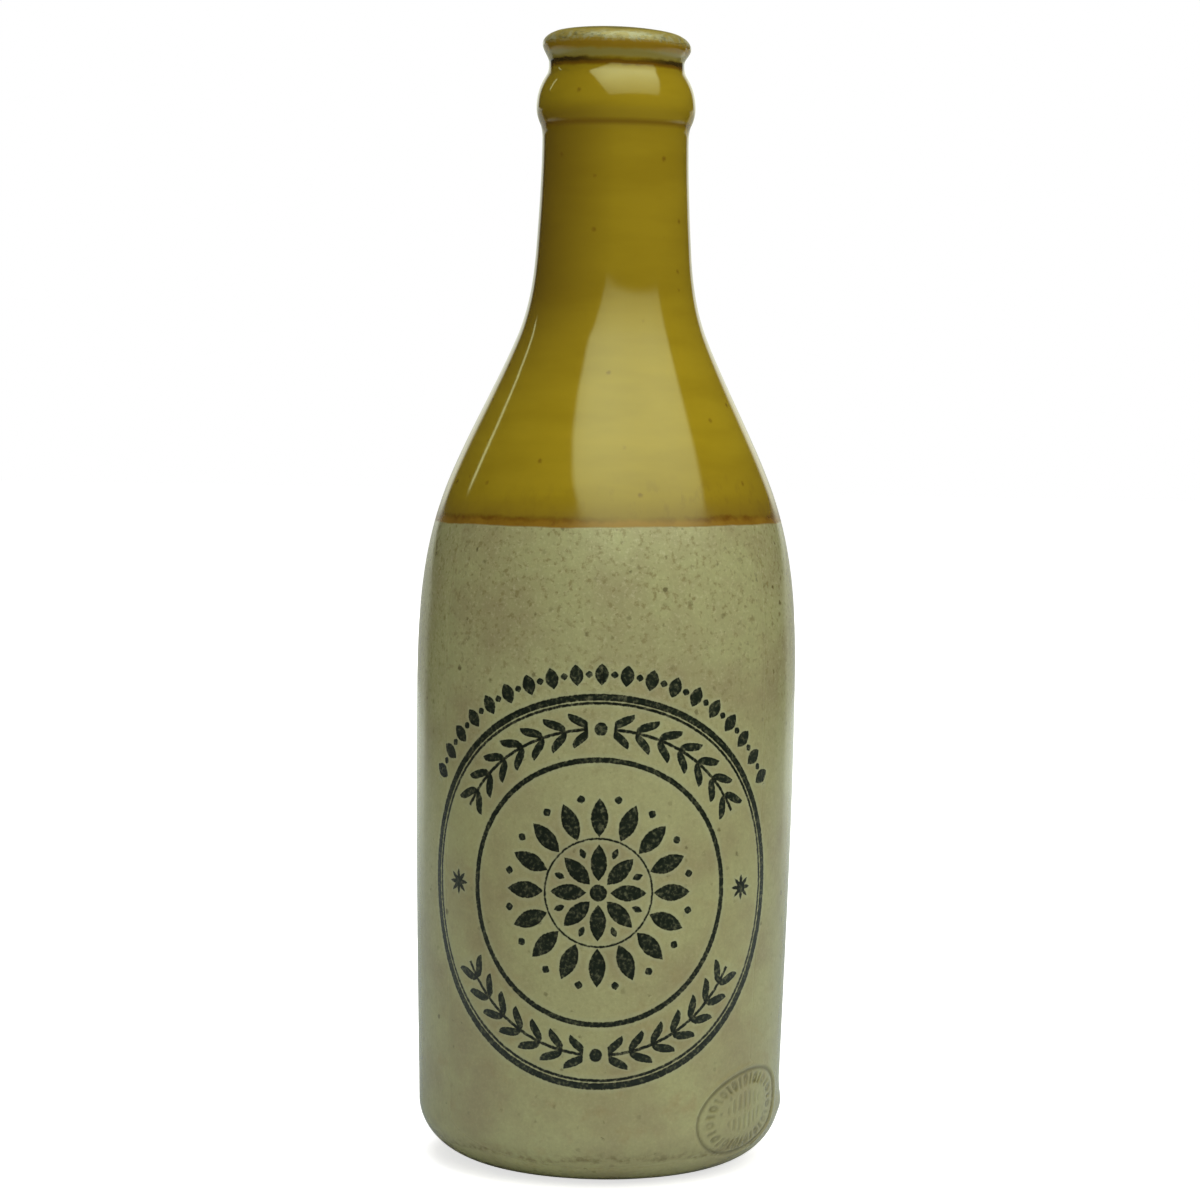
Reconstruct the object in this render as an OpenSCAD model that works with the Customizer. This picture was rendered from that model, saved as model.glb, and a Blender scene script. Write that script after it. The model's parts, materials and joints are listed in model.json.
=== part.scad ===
// Stoneware ginger beer bottle: one hollow turned piece, with a collar and a lip for a crown cap.
// It stands on the plane z = 0 and its axis is the Z axis. All lengths are in millimetres.
// The outline is a chain of heights, from the base up, so each height can be set by itself.

/* [Heel and body] */
// Radius of the body just above the rounded heel
foot_r = 33; // [30:0.5:38]
// How far in the heel turns before it meets the flat base
heel_w = 13; // [8:0.5:16]
// Height of the rounded heel
heel_h = 10.5; // [7:0.5:14]
// Flare of the wall just above the heel, in degrees from upright
foot_flare = 1.6; // [0:0.2:3]
// Height from the heel to the widest place of the body
body_h = 73; // [50:1:95]
// Radius of the body at its widest place
belly_r = 34.5; // [32:0.5:40]

/* [Shoulder] */
// Height from the widest place to the end of the shoulder's round
shoulder_h = 40; // [32:1:50]
// Radius at the end of the shoulder's round
shoulder_r = 29.2; // [26:0.2:31]
// Lean of the wall at the end of the shoulder's round, in degrees from upright
shoulder_lean = 21.5; // [16:0.5:26]
// Height of the nearly straight slope
slope_h = 26; // [20:1:32]
// Radius at the top of the slope, where the wall starts to turn up into the neck
root_r = 17.3; // [16.4:0.1:19]
// Lean of the wall at the top of the slope, in degrees from upright
root_lean = 22.5; // [16:0.5:26]
// Height of the hollow curve between the slope and the neck
root_h = 17; // [13:0.5:22]

/* [Neck] */
// Radius at the foot of the neck
neck_r = 14; // [13.4:0.1:16]
// Lean of the wall at the foot of the neck, in degrees from upright
neck_lean = 3.4; // [1:0.2:6]
// Height of the neck, up to its narrowest place
neck_h = 19.3; // [12:0.5:35]
// Radius of the neck at its narrowest place, under the collar
waist_r = 13.3; // [12.4:0.1:13.6]

/* [Collar] */
// Height from the waist to the collar's lower edge
fillet_h = 2.1; // [1.4:0.1:4]
// Radius at the collar's lower edge
collar_foot_r = 13.6; // [13.5:0.1:13.8]
// Flare of the neck just under the collar's lower edge, in degrees from upright
fillet_flare = 14; // [8:1:20]
// Flare of the collar just above its lower edge, in degrees from upright
collar_flare = 26; // [20:1:34]
// Height from the lower edge to the fullest place of the collar
collar_low_h = 3.3; // [2.6:0.1:6]
// Radius of the collar at its fullest place
collar_r = 14.45; // [13.9:0.05:16]
// Height from the fullest place to the collar's sloping top
collar_up_h = 5.7; // [4.4:0.1:8]
// Radius of the collar at its sloping top
collar_top_r = 12.8; // [12.5:0.1:13.2]
// Lean of the collar's sloping top, in degrees from upright
collar_lean = 33; // [25:1:38]
// Height of the groove between the collar and the lip
groove_h = 2.3; // [2:0.1:4]
// Radius in the groove, just under the lip
groove_r = 12.3; // [12:0.1:12.4]

/* [Lip and mouth] */
// Height from the groove to the lip's widest place
lip_low_h = 3; // [2.4:0.1:4]
// Height from the lip's widest place to its crest
lip_up_h = 2.7; // [1.8:0.1:3.4]
// Radius of the lip at its widest place, over which a 26 mm crown cap closes
lip_r = 13.5; // [13.2:0.05:13.8]
// Radius of the mouth's bore
bore_r = 8; // [7:0.1:8.4]
// Length of the bore from the crest down to where it opens into the body
bore_l = 38; // [30:1:44]
// Radius of the rounding between the lip's crest and the bore
mouth_round = 1.2; // [0.8:0.1:2]

/* [Glaze] */
// How far the edge of the ochre glaze lies below the end of the shoulder's round
glaze_drop = 7; // [0:0.5:20]

/* [Wall] */
// Thickness of the body's wall, square to its surface
wall = 5.2; // [4:0.1:6]
// Thickness of the floor
floor_t = 8; // [6:0.5:11]
// Radius of the rounding between the floor and the wall inside
floor_round = 10; // [6:0.5:14]

/* [Hidden] */

// Facets around the bottle in a preview
around = 180;
// Straight pieces in each stretch of the outline
long_steps = 14;
short_steps = 8;

// Heights above the base where one stretch of the outline ends and the next starts
belly_z = heel_h + body_h;
shoulder_z = belly_z + shoulder_h;
root_z = shoulder_z + slope_h;
neck_z = root_z + root_h;
waist_z = neck_z + neck_h;
collar_foot_z = waist_z + fillet_h;
collar_z = collar_foot_z + collar_low_h;
collar_top_z = collar_z + collar_up_h;
groove_z = collar_top_z + groove_h;
lip_z = groove_z + lip_low_h;
height = lip_z + lip_up_h;

// Height of the edge of the ochre glaze
glaze_z = shoulder_z - glaze_drop;

// Radius of the lip's crest, which is where the mouth's rounding starts
crest_r = bore_r + mouth_round;
// Radius of the flat that the bottle stands on
base_r = foot_r - heel_w;
// Height where the bore opens into the body
bore_z = height - bore_l;
// Radius inside, just above the rounding of the floor
inside_foot_r = foot_r - wall;

// A station of the outline is [radius, height, radius gained for each millimetre of height]
function station(r, z, lean) = [r, z, -tan(lean)];

// Point at share t of the smooth curve from station a to station b
function curve_point(a, b, t) =
    let (h = b[1] - a[1])
    [(2 * pow(t, 3) - 3 * pow(t, 2) + 1) * a[0]
         + (pow(t, 3) - 2 * pow(t, 2) + t) * h * a[2]
         + (3 * pow(t, 2) - 2 * pow(t, 3)) * b[0]
         + (pow(t, 3) - pow(t, 2)) * h * b[2],
     a[1] + t * h];

// Curve from station a to station b, without its last point
function curve(a, b, steps) = [for (i = [0 : steps - 1]) curve_point(a, b, i / steps)];

// Quarter of an oval about a centre, from one angle to another, without its last point
function quarter(centre, wide, tall, from, to, steps) =
    [for (i = [0 : steps - 1])
        let (angle = from + (to - from) * i / steps)
        [centre[0] + wide * cos(angle), centre[1] + tall * sin(angle)]];

foot = station(foot_r, heel_h, -foot_flare);
belly = station(belly_r, belly_z, 0);
shoulder = station(shoulder_r, shoulder_z, shoulder_lean);
root = station(root_r, root_z, root_lean);
neck = station(neck_r, neck_z, neck_lean);
waist = station(waist_r, waist_z, 0);
fillet_end = station(collar_foot_r, collar_foot_z, -fillet_flare);
collar_foot = station(collar_foot_r, collar_foot_z, -collar_flare);
collar = station(collar_r, collar_z, 0);
collar_top = station(collar_top_r, collar_top_z, collar_lean);
groove = station(groove_r, groove_z, 0);
lip = station(lip_r, lip_z, 0);

// Stations of the hollow, one wall inside the stations of the outline
inside_foot = station(inside_foot_r, floor_t + floor_round, -foot_flare);
inside_belly = station(belly_r - wall, belly_z, 0);
inside_shoulder = station(shoulder_r - wall / cos(shoulder_lean), shoulder_z, shoulder_lean);
inside_root = station(root_r - wall / cos(root_lean), root_z, root_lean);
inside_bore = station(bore_r, bore_z, 0);

// Outer side, from the middle of the base up to the lip's crest
outer_side = concat(
    [[0, 0]],
    quarter([base_r, heel_h], heel_w, heel_h, -90, 0, long_steps),
    curve(foot, belly, short_steps),
    curve(belly, shoulder, long_steps),
    curve(shoulder, root, short_steps),
    curve(root, neck, long_steps),
    curve(neck, waist, short_steps),
    curve(waist, fillet_end, short_steps),
    curve(collar_foot, collar, short_steps),
    curve(collar, collar_top, short_steps),
    curve(collar_top, groove, short_steps),
    curve(groove, lip, short_steps),
    quarter([crest_r, lip_z], lip_r - crest_r, lip_up_h, 0, 90, short_steps)
);

// Inner side, from the lip's crest down the bore to the middle of the floor
inner_side = concat(
    quarter([crest_r, height - mouth_round], mouth_round, mouth_round, 90, 180, short_steps),
    [[bore_r, height - mouth_round]],
    curve(inside_bore, inside_root, short_steps),
    curve(inside_root, inside_shoulder, short_steps),
    curve(inside_shoulder, inside_belly, long_steps),
    curve(inside_belly, inside_foot, short_steps),
    quarter([inside_foot_r - floor_round, floor_t + floor_round], floor_round, floor_round,
            0, -90, short_steps),
    [[inside_foot_r - floor_round, floor_t], [0, floor_t]]
);

// The stretch of the bottle between two heights, swept once round the axis
module turned(from, to) {
    rotate_extrude($fn = around)
        intersection() {
            polygon(concat(outer_side, inner_side));
            translate([0, from])
                square([2 * belly_r, to - from]);
        }
}

// One fired piece: clear-glazed buff stoneware below the glaze line, ochre glaze above it
module bottle() {
    color("#8e8e68")
        turned(0, glaze_z);
    color("#867213")
        turned(glaze_z, height);
}

bottle();
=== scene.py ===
"""Looks of a stoneware ginger beer bottle, thrown and turned, with ochre glaze above and clear glaze below,
a transfer print in front and an oval stamp pressed into the heel. Lengths in comments are millimetres."""

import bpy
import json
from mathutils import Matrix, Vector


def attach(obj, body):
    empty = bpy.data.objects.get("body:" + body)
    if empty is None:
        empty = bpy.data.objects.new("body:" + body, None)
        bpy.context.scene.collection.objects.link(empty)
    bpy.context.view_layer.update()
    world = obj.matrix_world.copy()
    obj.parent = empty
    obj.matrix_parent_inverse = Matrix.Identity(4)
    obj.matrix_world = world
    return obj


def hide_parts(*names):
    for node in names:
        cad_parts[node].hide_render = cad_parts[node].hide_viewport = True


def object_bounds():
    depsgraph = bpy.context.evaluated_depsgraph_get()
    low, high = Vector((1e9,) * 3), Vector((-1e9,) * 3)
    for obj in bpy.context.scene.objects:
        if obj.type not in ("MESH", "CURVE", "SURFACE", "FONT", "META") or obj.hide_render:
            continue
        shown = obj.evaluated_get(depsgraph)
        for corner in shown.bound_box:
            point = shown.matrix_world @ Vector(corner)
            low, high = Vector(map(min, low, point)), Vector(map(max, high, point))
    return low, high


bl_info = {
    "name": "Stoneware bottle",
    "version": (1, 0, 0),
    "blender": (4, 5, 0),
    "location": "3D View > Sidebar > Stoneware",
    "description": "Builds a two-glaze stoneware bottle with its print and stamp, and a studio stage",
    "category": "Object",
}

import json
import math

import bpy
import numpy as np
from bpy.props import FloatProperty, FloatVectorProperty, IntProperty, PointerProperty
from mathutils import Matrix, Vector

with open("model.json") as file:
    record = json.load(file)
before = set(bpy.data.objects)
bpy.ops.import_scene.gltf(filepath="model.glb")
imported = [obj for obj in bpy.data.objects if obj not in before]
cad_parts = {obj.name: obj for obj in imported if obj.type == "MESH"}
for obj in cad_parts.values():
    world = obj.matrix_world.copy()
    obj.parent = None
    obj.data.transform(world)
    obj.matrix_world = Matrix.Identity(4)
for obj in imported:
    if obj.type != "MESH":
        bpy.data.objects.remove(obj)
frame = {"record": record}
CAD_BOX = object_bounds()

MM = 0.001
MOUTH = next(mount for mount in frame["record"]["mounts"] if mount["name"] == "mouth")
HEIGHT = CAD_BOX[1].z / MM
BELLY_R = (CAD_BOX[1].x - CAD_BOX[0].x) / 2 / MM

# Radii of the wall at the stamp, at the print and at the lip's top, which turn angles into lengths
STAMP_WALL_R = 33.6
PRINT_WALL_R = 34.25
LIP_WALL_R = 12.6

# Height that the lamps face
SHOULDER_Z = 140.0

# Light of the softbox, of the white sheet behind the bottle and of the dim room, as shares of white
SOFTBOX_TINT = (0.875, 1.0, 0.56)
SHEET_TINT = (1.0, 1.04, 0.9)
ROOM_TINT = (0.03, 0.03, 0.02)
WHITE = (1.0, 1.0, 1.0)

# Kinds of node that the trees below are made of, beside the Math node
VECTOR = "ShaderNodeVectorMath"
MIX = "ShaderNodeMix"
NOISE = "ShaderNodeTexNoise"
CELLS = "ShaderNodeTexVoronoi"
RANGE = "ShaderNodeMapRange"


def millimetres(name, description, value):
    """A length that a user can change, given in millimetres and kept in metres."""
    return FloatProperty(name=name, description=description, default=value * MM, unit="LENGTH", precision=5)


def degrees(name, description, value):
    """An angle that a user can change, given in degrees."""
    return FloatProperty(name=name, description=description, default=math.radians(value), subtype="ANGLE")


def amount(name, description, value, lowest=0.0, highest=100.0):
    """A plain number that a user can change."""
    return FloatProperty(name=name, description=description, default=value, min=lowest, max=highest)


def linear(code):
    """Turns an sRGB hex colour into the linear values that Blender's sockets take."""
    shares = [int(code[i : i + 2], 16) / 255 for i in (1, 3, 5)]
    return tuple(s / 12.92 if s <= 0.04045 else ((s + 0.055) / 1.055) ** 2.4 for s in shares)


def colour(name, description, code):
    """A colour that a user can change, given as an sRGB hex code."""
    return FloatVectorProperty(
        name=name, description=description, default=linear(code), size=3, subtype="COLOR", min=0.0, max=1.0
    )


class OutlineSizes(bpy.types.PropertyGroup):
    """The stations of the turned outline, from the flat base up to the lip, and of the hollow inside."""

    foot_r: millimetres("Foot radius", "Radius of the body just above the rounded heel", 33.0)
    heel_w: millimetres("Heel width", "How far in the heel turns before it meets the flat base", 13.0)
    heel_h: millimetres("Heel height", "Height of the rounded heel", 10.5)
    foot_flare: degrees("Foot flare", "Flare of the wall just above the heel", 1.6)
    body_h: millimetres("Body height", "Height from the heel to the widest place", 73.0)
    belly_r: millimetres("Belly radius", "Radius of the body at its widest place", BELLY_R)
    shoulder_h: millimetres("Shoulder height", "Height from the widest place to the end of the round", 40.0)
    shoulder_r: millimetres("Shoulder radius", "Radius at the end of the shoulder's round", 29.2)
    shoulder_lean: degrees("Shoulder lean", "Lean of the wall at the end of the shoulder's round", 21.5)
    slope_h: millimetres("Slope height", "Height of the nearly straight slope", 26.0)
    root_r: millimetres("Root radius", "Radius at the top of the slope", 17.3)
    root_lean: degrees("Root lean", "Lean of the wall at the top of the slope", 22.5)
    root_h: millimetres("Root height", "Height of the hollow curve between the slope and the neck", 17.0)
    neck_r: millimetres("Neck radius", "Radius at the foot of the neck", 14.0)
    neck_lean: degrees("Neck lean", "Lean of the wall at the foot of the neck", 3.4)
    neck_h: millimetres("Neck height", "Height of the neck up to its narrowest place", 19.3)
    waist_r: millimetres("Waist radius", "Radius of the neck under the collar", 13.3)
    fillet_h: millimetres("Fillet height", "Height from the waist to the collar's lower edge", 2.1)
    collar_foot_r: millimetres("Collar foot radius", "Radius at the collar's lower edge", 13.6)
    fillet_flare: degrees("Fillet flare", "Flare of the neck just under the collar's lower edge", 14.0)
    collar_flare: degrees("Collar flare", "Flare of the collar just above its lower edge", 26.0)
    collar_low_h: millimetres("Collar lower height", "Height from the lower edge to the fullest place", 3.3)
    collar_r: millimetres("Collar radius", "Radius of the collar at its fullest place", 14.45)
    collar_up_h: millimetres("Collar upper height", "Height from the fullest place to the sloping top", 5.7)
    collar_top_r: millimetres("Collar top radius", "Radius of the collar at its sloping top", 12.8)
    collar_lean: degrees("Collar lean", "Lean of the collar's sloping top", 33.0)
    groove_h: millimetres("Groove height", "Height of the groove between the collar and the lip", 2.3)
    groove_r: millimetres("Groove radius", "Radius in the groove, just under the lip", 12.3)
    lip_low_h: millimetres("Lip lower height", "Height from the groove to the lip's widest place", 3.0)
    lip_up_h: millimetres("Lip upper height", "Height from the lip's widest place to its crest", 2.7)
    lip_r: millimetres("Lip radius", "Radius of the lip at its widest place", 13.5)
    bore_r: millimetres("Bore radius", "Radius of the mouth's bore", MOUTH["dims"]["r_mm"])
    mouth_round: millimetres(
        "Mouth rounding", "Radius of the rounding between the lip's crest and the bore", 1.2
    )
    wall: millimetres("Wall", "Thickness of the body's wall", 5.2)
    floor_t: millimetres("Floor", "Thickness of the floor", 8.0)
    floor_round: millimetres(
        "Floor rounding", "Radius of the rounding between the floor and the wall inside", 10.0
    )


class FinishSizes(bpy.types.PropertyGroup):
    """Where the glazes, the print and the stamp lie on the bottle, and how large they are."""

    columns: IntProperty(name="Columns", description="Strips of faces round the bottle", default=300, min=48)
    crowding: amount("Crowding", "How much the strips crowd together at the stamp", 0.72, 0.0, 0.8)
    glaze_z: millimetres("Glaze line", "Height of the edge of the ochre glaze", 116.6)
    glaze_tilt: millimetres(
        "Glaze tilt", "How much higher the glaze line lies on the right than in front", 0.45
    )
    glaze_rim: millimetres(
        "Glaze rim", "Height of the orange-brown band where the ochre glaze runs thin", 1.0
    )
    smudge_h: millimetres(
        "Smudge height", "How far above the line the ochre glaze is smudged and less glossy", 4.5
    )
    print_z: millimetres("Print height", "Height of the printed ring's centre", 53.2)
    print_across: millimetres("Print place", "Place of the printed ring's centre, right of the front", -0.7)
    ring_r: millimetres("Outer ring", "Outer radius of the printed ring", 34.75)
    ring_w: millimetres("Ring line", "Width of the ring's heavy line", 1.2)
    inner_ring_r: millimetres("Inner ring", "Outer radius of the inner ring", 23.7)
    star_place: millimetres("Star place", "Distance of each star from the ring's centre", 28.0)
    star_r: millimetres("Star radius", "Length of a star's arms", 2.3)
    stamp_angle: degrees("Stamp angle", "Place of the stamp's centre, round to the right of the front", 52.4)
    stamp_z: millimetres("Stamp height", "Height of the stamp's centre", 12.4)
    stamp_long: millimetres("Stamp half length", "Half the length of the oval stamp", 12.1)
    stamp_short: millimetres("Stamp half height", "Half the height of the oval stamp", 7.3)
    stamp_tilt: degrees("Stamp tilt", "How much the stamp rises to the right", 9.2)
    stamp_depth: millimetres("Stamp depth", "How deep the stamp's field is pressed in", 0.3)
    stain_z: millimetres("Stain height", "Height of the brown line that damp left round the heel", 5.3)
    lip_dip: amount(
        "Lip dip", "How much the lip drops to the right, as millimetres of drop for each millimetre", 0.02,
        0.0, 0.1,
    )


class FinishColours(bpy.types.PropertyGroup):
    """Colours of the fired clay, the glazes, the ink and the wear."""

    buff: colour("Buff stoneware", "Buff body under clear glaze", "#929264")
    buff_dark: colour("Toasted buff", "Browner patches of the body under clear glaze", "#87815a")
    pooled: colour("Gathered glaze", "Thicker, darker clear glaze in the stamp's hollows", "#5c5731")
    blotch: colour("Blotches", "Brown blotches low on the body", "#85774d")
    speckle: colour("Speckles", "Soft olive-brown speckles high on the body", "#756d44")
    grain: colour("Sandy grains", "Pale grains in the clay that show through the glaze", "#a9a486")
    fleck: colour("Iron flecks", "Iron flecks that burnt through the glaze", "#57502f")
    ochre: colour("Ochre glaze", "Ochre glaze on the neck and shoulder", "#8f7b17")
    ochre_dark: colour("Thick ochre glaze", "Ochre glaze where it runs thick", "#877313")
    # Painted shade: a darker, browner ochre laid on the left of the neck, where less light falls
    ochre_shaded: colour("Brown ochre glaze", "Browner glaze on the left of the neck", "#665011")
    smudge: colour("Smudged ochre glaze", "Brown smudges just above the edge of the ochre glaze", "#6b5517")
    rim: colour("Thin glaze rim", "Orange-brown glaze where it breaks over an edge", "#84621a")
    # The crease colour also makes painted shade just under the lip's groove and round the collar's foot
    crease: colour("Glaze in creases", "Red-brown glaze that gathered in a crease", "#5a3a06")
    # Painted shade: this colour is laid in the groove right under the lip, where shade falls
    groove: colour("Glaze in the groove", "Dark glaze and dirt right under the lip", "#33260b")
    ink: colour("Ink", "Green-black transfer ink", "#141c12")
    ink_edge: colour("Ink edge", "Darker edge of the ink", "#070c06")
    halo: colour("Ink halo", "Pale fringe where the ink bled into the glaze", "#9aa07c")
    thin: colour(
        "Thin glaze on the lip", "Yellowish clay that shows through the glaze on top of the lip", "#72662b"
    )
    worn: colour("Worn lip", "Bare grey clay where caps wore the glaze off the lip", "#83815e")
    mark: colour("Lip marks", "Dark dirt in the scratches of the lip", "#4b4624")
    # Painted reflection: the paler olive-grey that the lip's underside shows from the floor below it
    underside_reflection: colour("Worn underside", "Thin olive-grey glaze on the lip's underside", "#79723b")
    rim_lip: colour("Thin glaze round the lip", "Brown-ochre glaze round the lip's widest place", "#7b6011")
    # The stain colour also makes the painted shadow along the very foot, where it meets the floor
    stain: colour("Stain", "Brown line that damp left round the heel", "#645a30")
    dry_clay: colour("Dry clay", "Unglazed clay of the base", "#8d8663")
    inside: colour("Inner glaze", "Clear glaze over grey clay inside the bottle", "#6f6a4b")


class StageSizes(bpy.types.PropertyGroup):
    """The camera, the lamps and the floor."""

    camera_far: millimetres("Camera distance", "Distance of the camera from the bottle's axis", 624.8)
    camera_z: millimetres("Camera height", "Height of the camera", 140.9)
    camera_pitch: degrees("Camera pitch", "How far the camera looks down", 3.56)
    camera_yaw: degrees("Camera yaw", "How far the camera looks left of the bottle's axis", 0.124)
    camera_roll: degrees("Camera roll", "How far the camera is rolled, so that the bottle leans right", 0.99)
    lens: amount("Lens", "Focal length in millimetres, on a sensor 36 mm wide", 102.85, 1.0, 500.0)
    softbox_far: millimetres("Softbox distance", "Distance of the large softbox from the shoulder", 1500.0)
    softbox_side: degrees(
        "Softbox side", "How far round to the right of the camera the softbox stands", 30.0
    )
    softbox_rise: degrees(
        "Softbox rise", "How high above the shoulder the middle of the softbox stands", 48.0
    )
    softbox_w: millimetres("Softbox width", "Width of the softbox", 2600.0)
    softbox_h: millimetres("Softbox height", "Height of the softbox", 1530.0)
    softbox_light: amount("Softbox light", "Brightness of the softbox on the bottle, where 1 is white", 2.42)
    softbox_shine: amount(
        "Softbox shine", "Brightness of the softbox in reflections, where 1 is white", 3.02
    )
    top_side: millimetres("Top light side", "Side of the square soft light over the bottle", 1200.0)
    top_z: millimetres("Top light height", "Height of the soft light over the bottle", 1600.0)
    top_light: amount("Top light", "Brightness of the soft light over the bottle, where 1 is white", 3.85)
    back_far: millimetres("Back light distance", "Distance of the soft light behind the bottle", 1500.0)
    back_side: millimetres("Back light side", "Side of the square soft light behind the bottle", 1000.0)
    back_rise: degrees(
        "Back light rise", "How high above the shoulder the light behind the bottle stands", 15.0
    )
    back_light: amount("Back light", "Brightness of the soft light behind the bottle, where 1 is white", 1.6)
    strip_side: degrees(
        "Strip side", "How far round to the left of the camera the strip light stands", 121.0
    )
    strip_rise: degrees(
        "Strip rise", "How high above the shoulder the middle of the strip light stands", 20.0
    )
    strip_light: amount("Strip light", "Brightness of the strip light, where 1 is white", 2.6)
    fill_light: amount("Fill light", "Brightness of the surroundings that fill the shadows", 0.006)
    floor_side: millimetres("Floor side", "Side of the square floor", 8000.0)


def find_input(node, key):
    """The input with that name or number, among those that the node's settings leave available."""
    if isinstance(key, int):
        return node.inputs[key]
    return next(socket for socket in node.inputs if socket.name == key and not socket.is_unavailable)


def add(tree, kind, inputs=(), **settings):
    """Adds a node with its settings, and fills its inputs with values, sockets or other nodes' first outputs.
    A kind in capitals is an operation of the Math node. A Map Range takes a value, the two ends of its ramp,
    and what it gives at each of them, which is 0 and 1 if left out."""
    if kind.isupper():
        kind, settings = "ShaderNodeMath", {"operation": kind}
    node = tree.nodes.new(kind)
    for name, value in settings.items():
        setattr(node, name, value)
    pairs = inputs.items() if isinstance(inputs, dict) else enumerate(inputs)
    for key, value in pairs:
        socket = find_input(node, key)
        if isinstance(value, bpy.types.Node):
            value = next(output for output in value.outputs if not output.is_unavailable)
        if isinstance(value, bpy.types.NodeSocket):
            tree.links.new(value, socket)
        elif socket.type == "RGBA" and len(value) == 3:
            socket.default_value = (*value, 1.0)
        else:
            socket.default_value = value
    return node


def off_from(tree, value, middle):
    """How far a value lies from a middle, to either side."""
    return add(tree, "ABSOLUTE", (add(tree, "SUBTRACT", (value, middle)),))


def new_group(name, kind, inputs, outputs):
    """An empty node group with those inputs and outputs, each a pair of name and socket type."""
    group = bpy.data.node_groups.new(name, kind)
    for label, socket in inputs:
        group.interface.new_socket(label, in_out="INPUT", socket_type=socket)
    for label, socket in outputs:
        group.interface.new_socket(label, in_out="OUTPUT", socket_type=socket)
    return group


def new_material(name):
    """An empty node material, and its tree."""
    material = bpy.data.materials.new(name)
    material.use_nodes = True
    material.node_tree.nodes.clear()
    return material, material.node_tree


def new_object(name, data):
    """An object in the scene that holds that mesh, lamp or camera."""
    made = bpy.data.objects.new(name, data)
    bpy.context.scene.collection.objects.link(made)
    return made


# Outline of the bottle


def station(radius, height, lean=0.0):
    """A place on the outline: its radius, its height, and the radius gained for each unit of height."""
    return radius, height, -math.tan(lean)


def curve(a, b, steps, first_share=0.0):
    """Points of the smooth curve from station a to station b, without its last point."""
    t = first_share + (1 - first_share) * np.arange(steps) / steps
    rise = b[1] - a[1]
    radius = (
        (2 * t**3 - 3 * t**2 + 1) * a[0]
        + (t**3 - 2 * t**2 + t) * rise * a[2]
        + (3 * t**2 - 2 * t**3) * b[0]
        + (t**3 - t**2) * rise * b[2]
    )
    return np.column_stack((radius, a[1] + t * rise))


def quarter(centre, wide, tall, start, end, steps):
    """Points of a quarter of an oval, from one angle to another in degrees, without its last point."""
    turn = np.radians(start + (end - start) * np.arange(steps) / steps)
    return np.column_stack((centre[0] + wide * np.cos(turn), centre[1] + tall * np.sin(turn)))


def straight(a, b, steps):
    """Points of a straight line from a to b, without its last point."""
    t = (np.arange(steps) / steps)[:, None]
    return np.asarray(a) * (1 - t) + np.asarray(b) * t


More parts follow.
